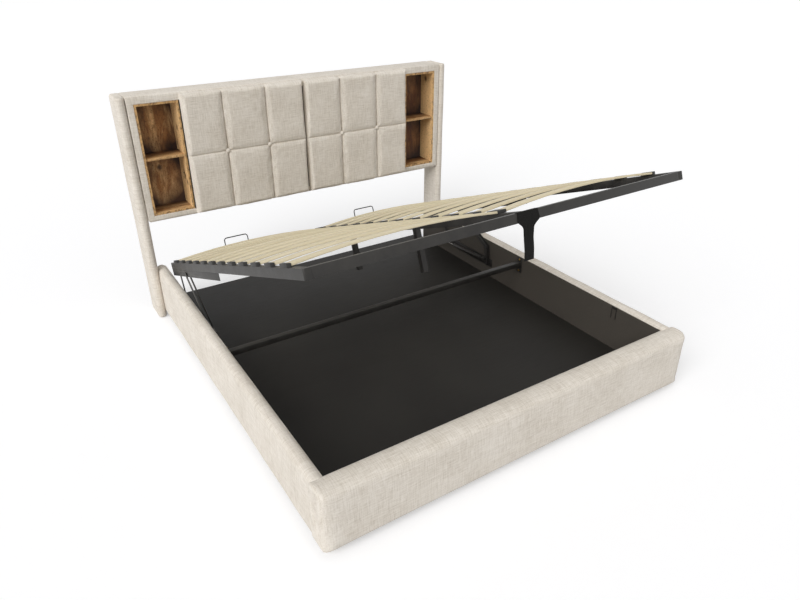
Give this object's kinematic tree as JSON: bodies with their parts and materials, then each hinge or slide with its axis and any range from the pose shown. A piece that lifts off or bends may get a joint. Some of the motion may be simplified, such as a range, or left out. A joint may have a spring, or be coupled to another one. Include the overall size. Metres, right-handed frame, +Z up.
{
  "type": "bed with storage headboard",
  "caption": "Upholstered storage bed with a slatted platform raised on hinged arms over an open box, and a padded headboard with two shelf niches.",
  "frame": {"origin": "on the floor, under the middle of the bed's length and width", "axes": "+Z up, +Y towards the headboard, +X to the right of someone who stands at the foot and looks at the headboard"},
  "size_m": [2.1626, 2.3766, 1.347],
  "materials": {
    "linen": "woven linen-look upholstery, oatmeal",
    "rustic_wood": "rustic brown wood with darker knots",
    "dark_board": "dark board, matt",
    "black_steel": "black powder coat",
    "beech": "pale sprung beech",
    "webbing": "black woven webbing",
    "bright_rod": "polished piston rod",
    "holder_plastic": "black moulded slat holder",
    "bolt_brass": "yellow-passivated bolt head"
  },
  "bodies": {
    "bed_frame": {"cross_bar": "black_steel", "foot_plinth": "dark_board", "footboard": "linen", "headboard_back_panel": "dark_board", "headboard_face_board": "dark_board", "headboard_surround": "linen", "headboard_wing_left": "linen", "headboard_wing_right": "linen", "lower_bracket_left": "black_steel", "lower_bracket_right": "black_steel", "niche_box_left": "rustic_wood", "niche_box_right": "rustic_wood", "niche_shelf_left": "rustic_wood", "niche_shelf_right": "rustic_wood", "padded_panel_left": "linen", "padded_panel_right": "linen", "rail_clip": "black_steel", "side_rail_left": "linen", "side_rail_right": "linen", "storage_floor": "dark_board"},
    "lift_arms": {"lift_arm_left": "black_steel", "lift_arm_right": "black_steel"},
    "platform": {"platform_centre_beam": "black_steel", "platform_foot_beam": "black_steel", "platform_head_beam": "black_steel", "platform_side_beam_left": "black_steel", "platform_side_beam_right": "black_steel", "pull_strap": "webbing", "slat_left_01": "beech", "slat_left_02": "beech", "slat_left_03": "beech", "slat_left_04": "beech", "slat_left_05": "beech", "slat_left_06": "beech", "slat_left_07": "beech", "slat_left_08": "beech", "slat_left_09": "beech", "slat_left_10": "beech", "slat_left_11": "beech", "slat_left_12": "beech", "slat_right_01": "beech", "slat_right_02": "beech", "slat_right_03": "beech", "slat_right_04": "beech", "slat_right_05": "beech", "slat_right_06": "beech", "slat_right_07": "beech", "slat_right_08": "beech", "slat_right_09": "beech", "slat_right_10": "beech", "slat_right_11": "beech", "slat_right_12": "beech", "upper_bracket_left": "black_steel", "upper_bracket_right": "black_steel"},
    "rear_links": {"rear_link_left": "black_steel", "rear_link_right": "black_steel"},
    "gas_rods": {"gas_rod_left": "bright_rod", "gas_rod_right": "bright_rod"},
    "gas_cylinders": {"gas_cylinder_left": "black_steel", "gas_cylinder_right": "black_steel"}
  },
  "joints": [
    {"name": "arm_swing", "type": "hinge", "parent": "bed_frame", "child": "lift_arms", "pos_m": [0, 0.2994, 0.1516], "axis": [1, 0, 0], "range_deg": [-26.34, 0]},
    {"name": "platform_tilt", "type": "hinge", "parent": "lift_arms", "child": "platform", "pos_m": [0, 0.63581, 0.4399], "axis": [1, 0, 0], "range_deg": [0, 47.63]},
    {"name": "rear_link_swing", "type": "hinge", "parent": "bed_frame", "child": "rear_links", "pos_m": [0, 0.7352, 0.1495], "axis": [1, 0, 0], "range_deg": [-39.14, 0]},
    {"name": "gas_rod_swing", "type": "hinge", "parent": "bed_frame", "child": "gas_rods", "pos_m": [0, 0.8, 0.158], "axis": [1, 0, 0], "range_deg": [0, 0.732]},
    {"name": "gas_cylinder_stroke", "type": "slide", "parent": "gas_rods", "child": "gas_cylinders", "axis": [0, -0.9978, 0.0657], "range_m": [-0.01705, 0]}
  ],
  "couplings": [
    {"joint": "platform_tilt", "follows": "arm_swing", "ratio": -1.8079},
    {"joint": "rear_link_swing", "follows": "arm_swing", "ratio": 1.4856},
    {"joint": "gas_rod_swing", "follows": "arm_swing", "ratio": -0.027416},
    {"joint": "gas_cylinder_stroke", "follows": "arm_swing", "m_per_rad": 0.037041}
  ]
}
